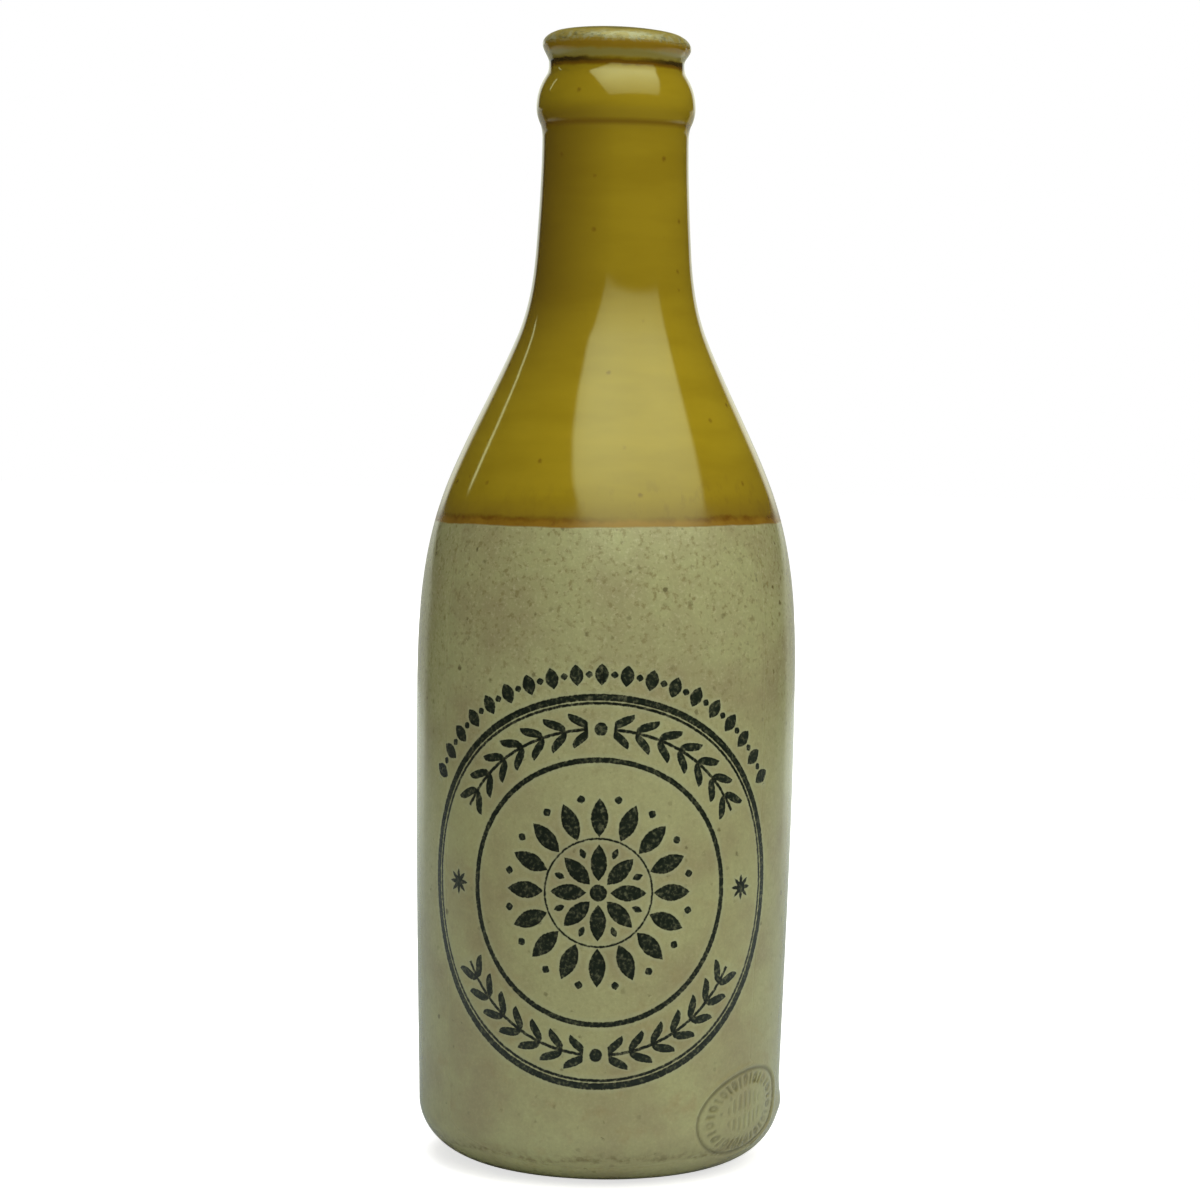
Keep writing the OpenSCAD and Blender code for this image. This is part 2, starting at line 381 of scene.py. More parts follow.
def outline_points(size, stamp_top):
    """The outline as (radius, height) points, and the first row of the wall and of the inside."""
    belly_z = size.heel_h + size.body_h
    shoulder_z = belly_z + size.shoulder_h
    root_z = shoulder_z + size.slope_h
    neck_z = root_z + size.root_h
    waist_z = neck_z + size.neck_h
    collar_foot_z = waist_z + size.fillet_h
    collar_z = collar_foot_z + size.collar_low_h
    collar_top_z = collar_z + size.collar_up_h
    groove_z = collar_top_z + size.groove_h
    lip_z = groove_z + size.lip_low_h
    height = lip_z + size.lip_up_h
    if abs(height - HEIGHT * MM) > 0.1 * MM:
        raise RuntimeError("the outline is not as tall as the packed model")
    crest_r = size.bore_r + size.mouth_round
    base_r = size.foot_r - size.heel_w
    bore_z = MOUTH["pos_m"][2] - MOUTH["dims"]["length_mm"] * MM / 2
    inside_foot_r = size.foot_r - size.wall

    foot = station(size.foot_r, size.heel_h, -size.foot_flare)
    belly = station(size.belly_r, belly_z)
    shoulder = station(size.shoulder_r, shoulder_z, size.shoulder_lean)
    root = station(size.root_r, root_z, size.root_lean)
    neck = station(size.neck_r, neck_z, size.neck_lean)
    waist = station(size.waist_r, waist_z)
    fillet_end = station(size.collar_foot_r, collar_foot_z, -size.fillet_flare)
    collar_foot = station(size.collar_foot_r, collar_foot_z, -size.collar_flare)
    collar = station(size.collar_r, collar_z)
    collar_top = station(size.collar_top_r, collar_top_z, size.collar_lean)
    groove = station(size.groove_r, groove_z)
    lip = station(size.lip_r, lip_z)
    inside_foot = station(inside_foot_r, size.floor_t + size.floor_round, -size.foot_flare)
    inside_belly = station(size.belly_r - size.wall, belly_z)
    inside_shoulder = station(
        size.shoulder_r - size.wall / math.cos(size.shoulder_lean), shoulder_z, size.shoulder_lean
    )
    inside_root = station(size.root_r - size.wall / math.cos(size.root_lean), root_z, size.root_lean)
    inside_bore = station(size.bore_r, bore_z)

    stamp_share = (stamp_top - size.heel_h) / size.body_h
    stamp_rows = 44
    near_stamp = curve(foot, belly, round(stamp_rows / stamp_share))[:stamp_rows]
    base = straight((0.0, 0.0), (base_r, 0.0), 4)
    wall = [
        quarter((base_r, size.heel_h), size.heel_w, size.heel_h, -90, 0, 54),
        near_stamp,
        curve(foot, belly, 30, stamp_share),
        curve(belly, shoulder, 26),
        curve(shoulder, root, 14),
        curve(root, neck, 18),
        curve(neck, waist, 12),
        curve(waist, fillet_end, 6),
        curve(collar_foot, collar, 9),
        curve(collar, collar_top, 14),
        curve(collar_top, groove, 10),
        curve(groove, lip, 14),
        quarter((crest_r, lip_z), size.lip_r - crest_r, size.lip_up_h, 0, 90, 16),
        quarter((crest_r, height - size.mouth_round), size.mouth_round, size.mouth_round, 90, 180, 6),
    ]
    inside = [
        straight((size.bore_r, height - size.mouth_round), (size.bore_r, bore_z), 4),
        curve(inside_bore, inside_root, 8),
        curve(inside_root, inside_shoulder, 6),
        curve(inside_shoulder, inside_belly, 8),
        curve(inside_belly, inside_foot, 6),
        quarter(
            (inside_foot_r - size.floor_round, size.floor_t + size.floor_round),
            size.floor_round, size.floor_round, 0, -90, 7,
        ),
        straight((inside_foot_r - size.floor_round, size.floor_t), (0.0, size.floor_t), 3),
        np.array([[0.0, size.floor_t]]),
    ]
    wall_row = len(base)
    inside_row = wall_row + sum(len(part) for part in wall)
    return np.vstack([base, *wall, *inside]), wall_row, inside_row


# The turned form, as Geometry Nodes


def turning_tree():
    """Geometry Nodes that turn an outline round Z: a rolled-up grid, merged at its seam and poles."""
    inputs = [("Outline", "NodeSocketGeometry")]
    inputs += [(name, "NodeSocketInt") for name in ("Columns", "Rows", "Wall row", "Inside row")]
    inputs += [(name, "NodeSocketFloat") for name in ("First angle", "Crowding")]
    inputs += [(f"{name} material", "NodeSocketMaterial") for name in ("Base", "Wall", "Inside")]
    tree = new_group("Turn outline", "GeometryNodeTree", inputs, [("Bottle", "NodeSocketGeometry")])
    given = add(tree, "NodeGroupInput").outputs
    across = add(tree, "ADD", (given["Columns"], 1.0))
    last_row = add(tree, "SUBTRACT", (given["Rows"], 1.0))
    grid = add(
        tree, "GeometryNodeMeshGrid",
        {"Size X": 1.0, "Size Y": last_row, "Vertices X": across, "Vertices Y": given["Rows"]},
    )
    spot = add(tree, "ShaderNodeSeparateXYZ", (add(tree, "GeometryNodeInputPosition"),)).outputs
    share = add(tree, "ADD", (spot["X"], 0.5))
    half_rows = add(tree, "MULTIPLY", (last_row, 0.5))
    row = add(tree, "ROUND", (add(tree, "ADD", (spot["Y"], half_rows)),))
    numbered = add(
        tree, "GeometryNodeStoreNamedAttribute",
        {"Geometry": grid.outputs["Mesh"], "Name": "row", "Value": row}, data_type="FLOAT", domain="POINT",
    )
    turn = add(tree, "MULTIPLY", (share, math.tau))
    wave = add(tree, "SINE", (turn,))
    pull = add(tree, "MULTIPLY", (wave, given["Crowding"]))
    eased = add(tree, "SUBTRACT", (turn, pull))
    angle = add(tree, "ADD", (eased, given["First angle"]))
    sampled = add(
        tree, "GeometryNodeSampleIndex",
        {"Geometry": given["Outline"], "Value": add(tree, "GeometryNodeInputPosition"), "Index": row},
        data_type="FLOAT_VECTOR", domain="POINT",
    )
    edge = add(tree, "ShaderNodeSeparateXYZ", (sampled,)).outputs
    sine = add(tree, "SINE", (angle,))
    cosine = add(tree, "COSINE", (angle,))
    away = add(tree, "MULTIPLY", (edge["X"], -1.0))
    x = add(tree, "MULTIPLY", (edge["X"], sine))
    y = add(tree, "MULTIPLY", (away, cosine))
    place = add(tree, "ShaderNodeCombineXYZ", (x, y, edge["Z"]))
    rolled = add(tree, "GeometryNodeSetPosition", {"Geometry": numbered, "Position": place})
    closed = add(tree, "GeometryNodeMergeByDistance", {"Geometry": rolled, "Distance": 2e-7})
    smooth = add(tree, "GeometryNodeSetShadeSmooth", {"Geometry": closed})
    whole = add(tree, "GeometryNodeRealizeInstances", {"Geometry": smooth})
    row_of_face = add(
        tree, "GeometryNodeInputNamedAttribute", {"Name": "row"}, data_type="FLOAT"
    ).outputs["Attribute"]
    on_wall = add(tree, "GREATER_THAN", (row_of_face, given["Wall row"]))
    on_inside = add(tree, "GREATER_THAN", (row_of_face, given["Inside row"]))
    done = add(tree, "GeometryNodeSetMaterial", {"Geometry": whole, "Material": given["Base material"]})
    for selection, label in ((on_wall, "Wall material"), (on_inside, "Inside material")):
        done = add(
            tree, "GeometryNodeSetMaterial",
            {"Geometry": done, "Selection": selection, "Material": given[label]},
        )
    add(tree, "NodeGroupOutput", (done,))
    return tree


def turn_bottle(outline, inputs):
    """Turns the outline with Geometry Nodes and returns the result as a plain mesh."""
    mesh = bpy.data.meshes.new("outline")
    points = [(r, 0.0, z) for r, z in outline]
    mesh.from_pydata(points, [(i, i + 1) for i in range(len(points) - 1)], [])
    turned = new_object("outline", mesh)
    modifier = turned.modifiers.new("Turn", "NODES")
    modifier.node_group = turning_tree()
    for item in modifier.node_group.interface.items_tree:
        if item.name in inputs:
            modifier[item.identifier] = inputs[item.name]
    depsgraph = bpy.context.evaluated_depsgraph_get()
    result = bpy.data.meshes.new_from_object(turned.evaluated_get(depsgraph), depsgraph=depsgraph)
    bpy.data.objects.remove(turned)
    bpy.data.meshes.remove(mesh)
    return result


# Relief that hands, tools and use left in the surface


def smooth_step(value, low, high):
    """0 below low, 1 above high, and smooth between them."""
    t = np.clip((value - low) / (high - low), 0.0, 1.0)
    return t * t * (3 - 2 * t)


def stamp_relief(finish, angle, z):
    """Height of the oval stamp's relief: a sunk field with a groove round it, a ring of bars and beads and a
    ribbed middle. Also how hollow each place is, from 0 to 1, for the glaze that gathers there."""
    long, short = finish.stamp_long / MM, finish.stamp_short / MM
    depth = finish.stamp_depth / MM
    right = (angle - finish.stamp_angle) * STAMP_WALL_R
    up = z - finish.stamp_z / MM
    along = right * math.cos(finish.stamp_tilt) + up * math.sin(finish.stamp_tilt)
    above = up * math.cos(finish.stamp_tilt) - right * math.sin(finish.stamp_tilt)
    share = np.hypot(along / long, above / short)
    gap = (share - 1) * np.hypot(along, above) / np.maximum(share, 0.05)
    around = np.arctan2(above / short, along / long)

    # The sunk field, the groove along its edge and the clay pushed up outside the groove
    groove_w = 0.32
    ridge_out, ridge_w = 0.8, 0.5
    field = smooth_step(-gap, -0.1, 0.7)
    trench = np.exp(-((gap / groove_w) ** 2))
    pushed_up = np.exp(-(((gap - ridge_out) / ridge_w) ** 2))

    # Marks in a ring, evenly spaced along it: bars and beads by turns
    marks = 30
    middle = 0.77
    bead_r, bead_edge = 0.42, 0.24
    evened = around - (long - short) / (2 * (long + short)) * np.sin(2 * around)
    number = np.round(evened * marks / math.tau)
    sideways = (evened * marks / math.tau - number) * middle * math.pi * (long + short) / marks
    outwards = (share - middle) * np.hypot(along, above) / np.maximum(share, 0.05)
    bar = (1 - smooth_step(np.abs(sideways), 0.12, 0.42)) * (1 - smooth_step(np.abs(outwards), 0.85, 1.2))
    bead = np.exp(-(((np.hypot(sideways, 0.6 * outwards) - bead_r) / bead_edge) ** 2))
    mark = np.where(number % 2 == 0, bar, bead)

    # Upright ribs in the middle
    rib_pitch = 1.5
    ribs = 0.5 + 0.5 * np.cos(math.tau * right / rib_pitch)
    ribs = ribs**2 * (1 - smooth_step(share, 0.42, 0.5)) * smooth_step(np.abs(above), 0.3, 0.8)
    uneven = 0.7 + 0.3 * np.sin(0.9 * along + 0.9) * np.cos(0.8 * above)
    sunk = np.maximum(mark * uneven, 0.45 * ribs)
    relief = depth * (0.35 * pushed_up - 0.5 * field - 0.9 * trench - 0.8 * sunk)
    return relief, np.clip(trench + 1.05 * sunk + 0.04 * field, 0.0, 1.0)


def thrown_unevenness(angle, z):
    """Slight waves that throwing, drying and firing leave in the wall, in millimetres."""
    rings = 0.003 * np.sin(1.9 * z + 0.6 * np.sin(angle)) + 0.004 * np.sin(0.83 * z + angle)
    lean = 0.05 * np.sin(2 * angle + 0.04 * z) + 0.03 * np.sin(3 * angle - 0.06 * z + 1.1)
    return rings + lean


def pushed_clay(angle, z):
    """Clay that the stamp pushed out to its right, in millimetres."""
    thick = 0.45
    side, half_angle = math.radians(86), 0.14
    middle_z, half_h = 11.0, 2.0
    return thick * np.exp(-(((angle - side) / half_angle) ** 2) - ((z - middle_z) / half_h) ** 2)


def lip_wear(angle, z, lip_z):
    """Small chips along the top of the lip, in millimetres."""
    rng = np.random.default_rng(11)
    chip_count = 46
    chips = np.zeros_like(z)
    for _ in range(chip_count):
        centre = rng.uniform(-math.pi, math.pi)
        high = rng.uniform(lip_z - 0.3, lip_z + 2.4)
        wide = rng.uniform(0.35, 1.1)
        deep = rng.uniform(0.05, 0.16)
        sideways = LIP_WALL_R * ((angle - centre + math.pi) % math.tau - math.pi)
        chips = chips - deep * np.exp(-((sideways / wide) ** 2) - ((z - high) / (0.6 * wide)) ** 2)
    return chips


def add_relief(mesh, finish, wall_row, inside_row, groove_z, lip_z):
    """Moves the wall's points along their normals by the stamp, the unevenness and the wear, and tips the
    lip. The stamp's hollows are kept as an attribute, for the wall's material."""
    count = len(mesh.vertices)
    place = np.empty(count * 3)
    mesh.vertices.foreach_get("co", place)
    place = place.reshape(-1, 3)
    normal = np.empty(count * 3, dtype=np.float32)
    mesh.vertex_normals.foreach_get("vector", normal)
    normal = normal.reshape(-1, 3).astype(float)
    row = np.empty(count, dtype=np.float32)
    mesh.attributes["row"].data.foreach_get("value", row)
    angle = np.arctan2(place[:, 0], -place[:, 1])
    z = place[:, 2] / MM
    on_wall = (row > wall_row) & (row < inside_row)
    lift, hollow = stamp_relief(finish, angle, z)
    lift += pushed_clay(angle, z)
    lift += thrown_unevenness(angle, z) * smooth_step(z, 1.0, 9.0)
    lift += lip_wear(angle, z, lip_z / MM)
    place[on_wall] += normal[on_wall] * (lift[on_wall] * MM)[:, None]
    place[:, 2] -= finish.lip_dip * place[:, 0] * smooth_step(z, groove_z / MM, lip_z / MM)
    mesh.vertices.foreach_set("co", place.reshape(-1))
    hollow = np.where(on_wall, hollow, 0.0)
    mesh.attributes.new("hollow", "FLOAT", "POINT").data.foreach_set("value", hollow)
    mesh.attributes.remove(mesh.attributes["row"])
    mesh.update()


# Materials


def leaf_row_group():
    """A row of pointed leaves, as a distance in millimetres to their edge: below 0 inside a leaf."""
    names = ("Across", "Pitch", "Along", "Middle", "Half length", "Half width")
    inputs = [(name, "NodeSocketFloat") for name in names]
    group = new_group("Leaf row", "ShaderNodeTree", inputs, [("Distance", "NodeSocketFloat")])
    given = add(group, "NodeGroupInput").outputs
    turns = add(group, "DIVIDE", (given["Across"], given["Pitch"]))
    nearest = add(group, "ROUND", (turns,))
    off = add(group, "SUBTRACT", (turns, nearest))
    sideways = add(group, "MULTIPLY", (off, given["Pitch"]))
    apart = add(group, "ABSOLUTE", (sideways,))
    from_middle = add(group, "SUBTRACT", (given["Along"], given["Middle"]))
    share = add(group, "DIVIDE", (from_middle, given["Half length"]))
    squared = add(group, "MULTIPLY", (share, share))
    left = add(group, "SUBTRACT", (1.0, squared))
    width = add(group, "MULTIPLY", (left, given["Half width"]))
    add(group, "NodeGroupOutput", (add(group, "SUBTRACT", (apart, width)),))
    return group


def print_group(finish):
    """The print, as a distance in millimetres to the ink's edge: rings, stars, leaves and a flower."""
    inputs = [("Across", "NodeSocketFloat"), ("Up", "NodeSocketFloat")]
    group = new_group("Transfer print", "ShaderNodeTree", inputs, [("Distance", "NodeSocketFloat")])
    leaves = leaf_row_group()
    given = add(group, "NodeGroupInput").outputs
    across, up = given["Across"], given["Up"]

    def far(right, above):
        place = add(group, "ShaderNodeCombineXYZ", (right, above))
        return add(group, VECTOR, (place,), operation="LENGTH").outputs["Value"]

    radius = far(across, up)
    angle = add(group, "ARCTAN2", (across, up))
    shapes = []

    def ring(middle, width):
        shapes.append(add(group, "SUBTRACT", (off_from(group, radius, middle), width / 2)))

    # Across, pitch, along, middle, half length and half width
    def leaf_row(*inputs):
        shapes.append(add(group, "ShaderNodeGroup", inputs, node_tree=leaves))

    def petals(count, turn, middle, half_length, half_width, around=angle, out=radius):
        turned = add(group, "ADD", (around, turn))
        along_arc = add(group, "MULTIPLY", (turned, out))
        pitch = add(group, "MULTIPLY", (out, math.tau / count))
        leaf_row(along_arc, pitch, out, middle, half_length, half_width)

    def keep(first_angle, last_angle, around):
        mm_per_radian = 30.0
        turned = add(group, "ABSOLUTE", (around,))
        before = add(group, "SUBTRACT", (first_angle, turned))
        after = add(group, "SUBTRACT", (turned, last_angle))
        outside = add(group, "MULTIPLY", (add(group, "MAXIMUM", (before, after)), mm_per_radian))
        shapes[-1] = add(group, "MAXIMUM", (shapes[-1], outside))

    heavy, outer = finish.ring_w / MM, finish.ring_r / MM
    ring(outer - heavy / 2, heavy)
    ring(outer - heavy - 0.45, 0.5)
    ring(finish.inner_ring_r / MM - 0.48, 0.96)

    # Two eight-pointed stars, one on each side, mirrored
    aside = add(group, "SUBTRACT", (add(group, "ABSOLUTE", (across,)), finish.star_place / MM))
    star_radius = far(aside, up)
    star_angle = add(group, "ARCTAN2", (aside, up))
    arm = finish.star_r / MM / 2
    petals(8, 0.0, arm, arm, 0.36, star_angle, star_radius)
    shapes.append(add(group, "SUBTRACT", (star_radius, 1.05)))

    # Leaf sprays in the band, above and below: the angle is measured from the nearer of top and bottom
    flat_up = add(group, "ABSOLUTE", (up,))
    folded = add(group, "ARCTAN2", (across, flat_up))
    spray_angle = add(group, "ABSOLUTE", (folded,))
    band_r = 28.6
    leaf_pitch = 4.2
    spray_start = math.radians(4.5)
    along_band = add(group, "MULTIPLY", (spray_angle, band_r))
    off_stem = off_from(group, radius, band_r)
    swept = add(group, "SUBTRACT", (along_band, off_stem))
    moved = add(group, "SUBTRACT", (swept, leaf_pitch / 2))
    leaf_row(moved, leaf_pitch, off_stem, 1.5, 1.6, 1.2)
    keep(spray_start, math.radians(61.6), folded)
    shapes.append(add(group, "SUBTRACT", (off_stem, 0.28)))
    keep(spray_start, math.radians(61.0), folded)
    past_berry = add(group, "SUBTRACT", (flat_up, band_r))
    shapes.append(add(group, "SUBTRACT", (far(across, past_berry), 1.15)))

    # Lozenges and beads by turns, in an arc over the ring
    arc_r = 38.1
    arc_pitch = 4.4
    arc_end = math.radians(62.0)
    on_arc = add(group, "MULTIPLY", (angle, arc_r))
    leaf_row(on_arc, arc_pitch, radius, arc_r, 1.9, 1.2)
    keep(0.0, arc_end, angle)
    between = add(group, "ADD", (on_arc, arc_pitch / 2))
    leaf_row(between, arc_pitch, radius, arc_r, 0.65, 0.65)
    keep(0.0, arc_end, angle)

    # A flower in the middle
    shapes.append(add(group, "SUBTRACT", (radius, 1.5)))
    petals(8, 0.0, 5.3, 3.2, 1.45)
    petals(8, math.pi / 8, 7.4, 1.0, 0.55)
    petals(16, 0.0, 13.2, 3.4, 1.5)
    petals(16, math.pi / 16, 16.6, 0.75, 0.7)
    ring(9.5, 0.35)

    nearest = shapes[0]
    for shape in shapes[1:]:
        nearest = add(group, "MINIMUM", (nearest, shape))
    add(group, "NodeGroupOutput", (nearest,))
    return group


def surface_place(tree):
    """Object coordinates in millimetres: the place, the angle round it, how far right and how high."""
    found = add(tree, "ShaderNodeTexCoord").outputs["Object"]
    place = add(tree, VECTOR, {0: found, "Scale": 1 / MM}, operation="SCALE")
    spot = add(tree, "ShaderNodeSeparateXYZ", (place,)).outputs
    towards = add(tree, "MULTIPLY", (spot["Y"], -1.0))
    angle = add(tree, "ARCTAN2", (spot["X"], towards))
    return place.outputs[0], angle, spot["X"], spot["Z"]


def surface_noise(tree, place):
    """Noise at the sizes that the surface shows, each with its size in millimetres and its detail."""
    sizes = {
        "cloud": (14.0, 3.0),
        "patch": (4.5, 3.0),
        "mottle": (2.2, 4.0),
        "speckle": (1.0, 3.0),
        "grain": (0.55, 2.0),
    }
    noise = {}
    for name, (size, detail) in sizes.items():
        field = add(tree, NOISE, {"Vector": place, "Scale": 1 / size, "Detail": detail, "Roughness": 0.6})
        noise[name] = field.outputs["Fac"]

    # The crumb is the finest noise as a colour, which moves places in all three directions
    noise["crumb"] = field.outputs["Color"]
    return noise


def painted(tree, skin, layers):
    """Lays colours over a skin, one after another, each with its own mask."""
    for mask, paint in layers:
        skin = add(tree, MIX, {"Factor": mask, "A": skin, "B": paint}, data_type="RGBA")
    return skin


def fired_surface(tree, skin, roughness, ior, height, deep, strength):
    """Ends a material's tree with its surface and a bump, which is as deep as that many millimetres."""
    bump = add(tree, "ShaderNodeBump", {"Strength": strength, "Distance": deep * MM, "Height": height})
    given = {"Base Color": skin, "Roughness": roughness, "Normal": bump, "IOR": ior}
    add(tree, "ShaderNodeOutputMaterial", (add(tree, "ShaderNodeBsdfPrincipled", given),))


def buff_skin(tree, finish, colours, place, angle, z, noise):
    """Colour of the buff body under clear glaze, with its flecks, stains and print, and painted shadow at the
    foot.
    """
    toasted = add(tree, RANGE, (noise["cloud"], 0.42, 0.68))
    blotch = add(tree, RANGE, (noise["patch"], 0.56, 0.72, 0.0, 0.5))
    low = add(tree, RANGE, (z, 20.0, 70.0, 1.0, 0.25))
    blotched = add(tree, "MULTIPLY", (blotch, low))
    speckle = add(tree, RANGE, (noise["speckle"], 0.54, 0.67, 0.0, 0.85))
    high = add(tree, RANGE, (z, 70.0, 104.0, 0.2, 1.0))
    speckled = add(tree, "MULTIPLY", (speckle, high))

    # Iron flecks: in each cell of 1.5 mm one may show, more of them high on the body and just above the heel
    crumbly = add(tree, VECTOR, (noise["crumb"], (0.9, 0.9, 0.9), place), operation="MULTIPLY_ADD")
    cells = add(tree, CELLS, {"Vector": crumbly, "Scale": 1 / 1.5}).outputs
    lot = add(tree, "ShaderNodeSeparateXYZ", (cells["Color"],)).outputs
    upper = add(tree, RANGE, (z, 84.0, 104.0, 0.9, 0.78))
    heel_flecks_z = 9.6
    from_heel = off_from(tree, z, heel_flecks_z)
    near_heel = add(tree, RANGE, (from_heel, 0.4, 1.0, 0.72, 1.0))
    least = add(tree, "MINIMUM", (upper, near_heel))
    picked = add(tree, "GREATER_THAN", (lot["X"], least))
    reach = add(tree, "MULTIPLY_ADD", (lot["Y"], -0.25, cells["Distance"]))
    spot = add(tree, RANGE, (reach, -0.02, 0.17, 0.95, 0.0))
    vivid = add(tree, "MULTIPLY_ADD", (add(tree, "POWER", (lot["Z"], 2.0)), 0.7, 0.3))
    flecked = add(tree, "MULTIPLY", (add(tree, "MULTIPLY", (picked, spot)), vivid))
    sandy = add(tree, RANGE, (noise["grain"], 0.57, 0.7, 0.0, 0.35))
    grains = add(tree, "MULTIPLY", (sandy, high))

    # Damp stain round the heel: sharp and spotted below, fading upwards; and painted shadow at the very foot
    swing = add(tree, "MULTIPLY_ADD", (noise["cloud"], 4.0, finish.stain_z / MM - 2.0))
    waver = add(tree, "MULTIPLY_ADD", (noise["mottle"], 1.4, add(tree, "SUBTRACT", (swing, 0.7))))
    over_stain = add(tree, "SUBTRACT", (z, waver))
    sharp = add(tree, RANGE, (over_stain, -0.5, 0.1))
    fading = add(tree, RANGE, (over_stain, 0.1, 2.6, 1.0, 0.0))
    spots = add(tree, RANGE, (noise["speckle"], 0.4, 0.62, 0.12, 1.0))
    faded = add(tree, "MULTIPLY", (add(tree, "POWER", (fading, 2.0)), spots))
    stained = add(tree, "MULTIPLY", (faded, add(tree, "MULTIPLY", (sharp, 0.8))))
    # Painted shadow: the stain colour over the last half millimetre of the foot, where it meets the floor
    foot_shadow = add(tree, RANGE, (z, 0.1, 0.6, 0.7, 0.0))
    hollow = add(tree, "ShaderNodeAttribute", attribute_name="hollow").outputs["Fac"]
    gathered = add(tree, "MULTIPLY", (hollow, 0.95))

    skin = painted(
        tree, tuple(colours.buff),
        (
            (toasted, colours.buff_dark),
            (blotched, colours.blotch),
            (grains, colours.grain),
            (speckled, colours.speckle),
            (flecked, colours.fleck),
            (stained, colours.stain),
            (foot_shadow, colours.stain),
            (gathered, colours.pooled),
        ),
    )

    # Transfer print under the clear glaze
    along = add(tree, "MULTIPLY_ADD", (angle, PRINT_WALL_R, -finish.print_across / MM))
    up = add(tree, "SUBTRACT", (z, finish.print_z / MM))
    shapes = add(tree, "ShaderNodeGroup", (along, up), node_tree=print_group(finish))
    behind = add(tree, "GREATER_THAN", (add(tree, "ABSOLUTE", (angle,)), 1.5))
    in_front = add(tree, "MULTIPLY_ADD", (behind, 50.0, shapes))
    shaky = add(tree, "MULTIPLY_ADD", (noise["grain"], 0.3, in_front))
    edge = add(tree, "SUBTRACT", (shaky, 0.15))
    inked = add(tree, RANGE, (edge, -0.07, 0.07, 1.0, 0.0))
    thin = add(tree, RANGE, (noise["grain"], 0.5, 0.72, 1.0, 0.72))
    printed = add(tree, "MULTIPLY", (inked, thin))
    core = add(tree, RANGE, (edge, -0.45, -0.15))
    ink = add(tree, MIX, {"Factor": core, "A": colours.ink, "B": colours.ink_edge}, data_type="RGBA")
    fringe = add(tree, RANGE, (edge, 0.1, 0.8, 0.35, 0.0))
    skin = painted(tree, skin, ((fringe, colours.halo), (printed, ink)))

    fine = add(tree, "MULTIPLY_ADD", (add(tree, "ADD", (noise["mottle"], noise["grain"])), 0.2, 0.8))
    return add(tree, VECTOR, {0: skin, "Scale": fine}, operation="SCALE")


